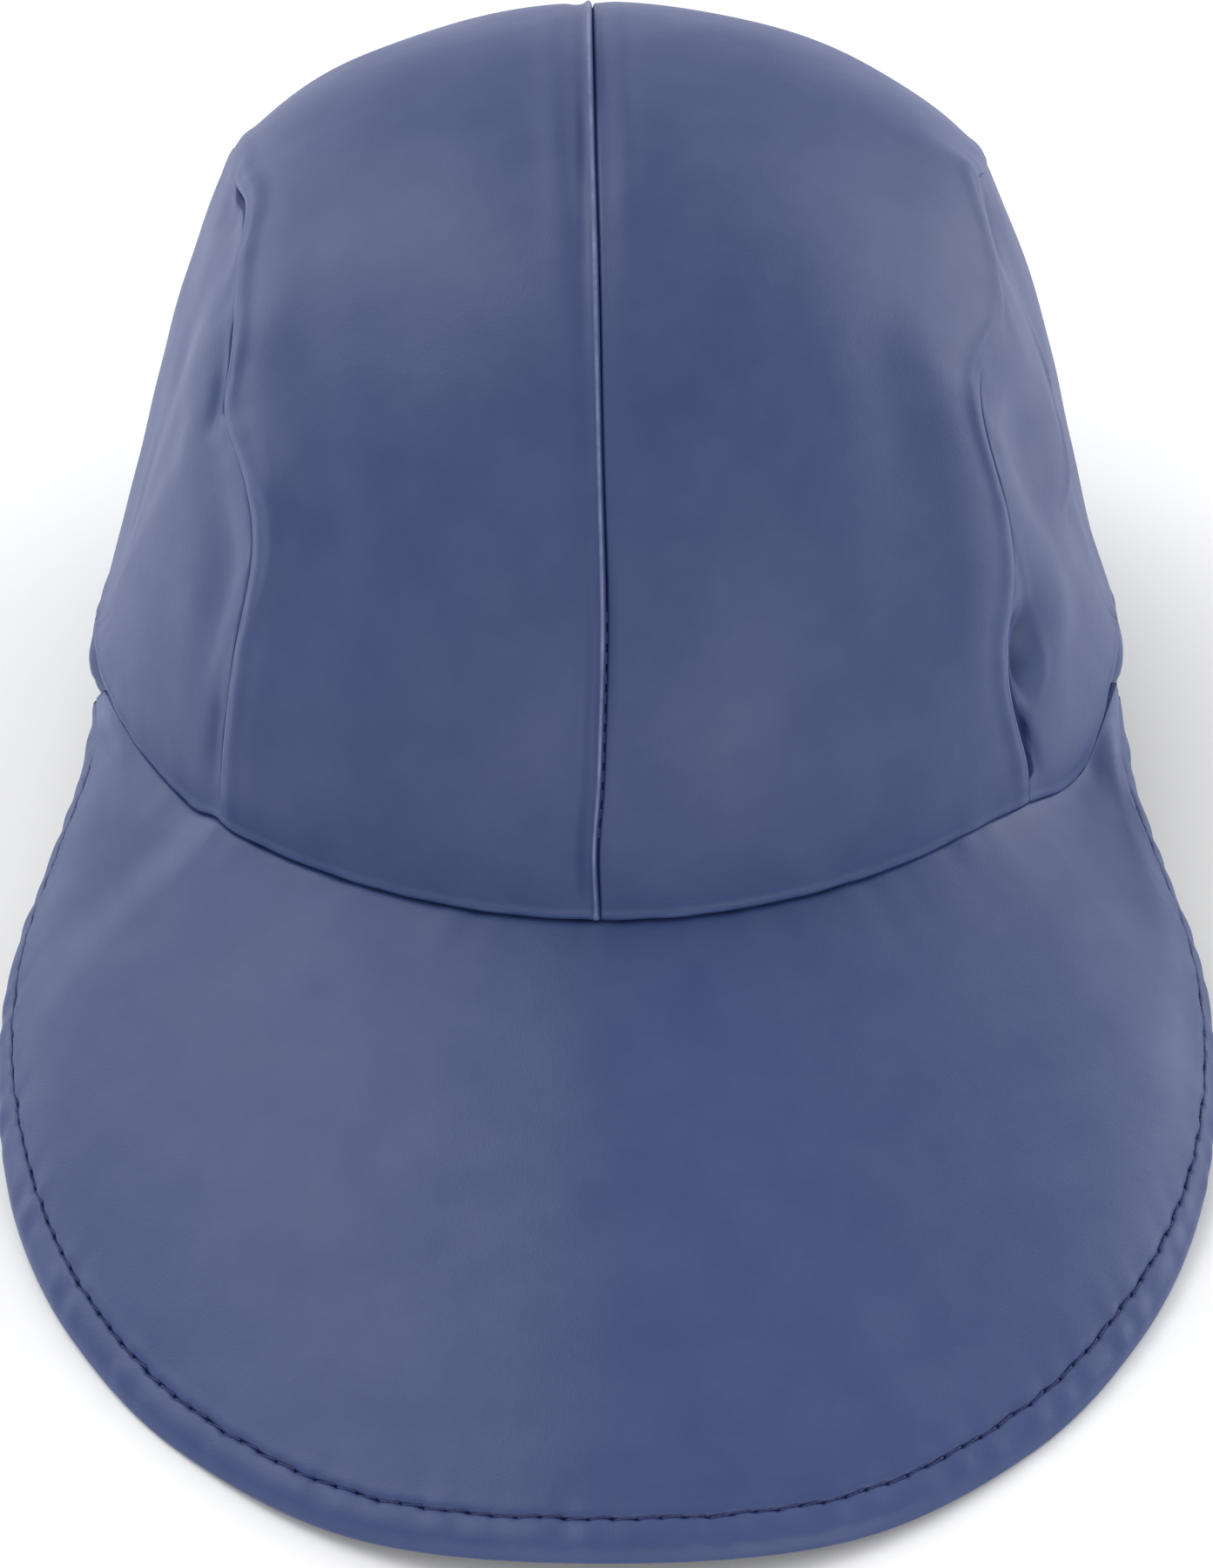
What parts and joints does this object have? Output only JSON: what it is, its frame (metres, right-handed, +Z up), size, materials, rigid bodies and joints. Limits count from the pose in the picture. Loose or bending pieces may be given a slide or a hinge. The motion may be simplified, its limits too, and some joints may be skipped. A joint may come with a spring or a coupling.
{
  "type": "rain hat",
  "caption": "Waterproof coated-cloth cap with a four-panel domed crown and a long, downward sloping topstitched front peak.",
  "frame": {"origin": "on the surface that the cap rests on, under the middle of its bounding box", "axes": "+X to the wearer's left, -Y forwards along the peak, +Z up"},
  "size_m": [0.1941, 0.298, 0.1322],
  "materials": {
    "coated_cloth": "satin",
    "peak_cloth": "satin",
    "turned_edge": "satin"
  },
  "bodies": {
    "root": {"crown_panel_left": "coated_cloth", "crown_panel_right": "coated_cloth", "side_panel_left": "coated_cloth", "side_panel_right": "coated_cloth", "peak": "peak_cloth", "peak_hem": "turned_edge", "crown_hem": "turned_edge"}
  },
  "joints": []
}
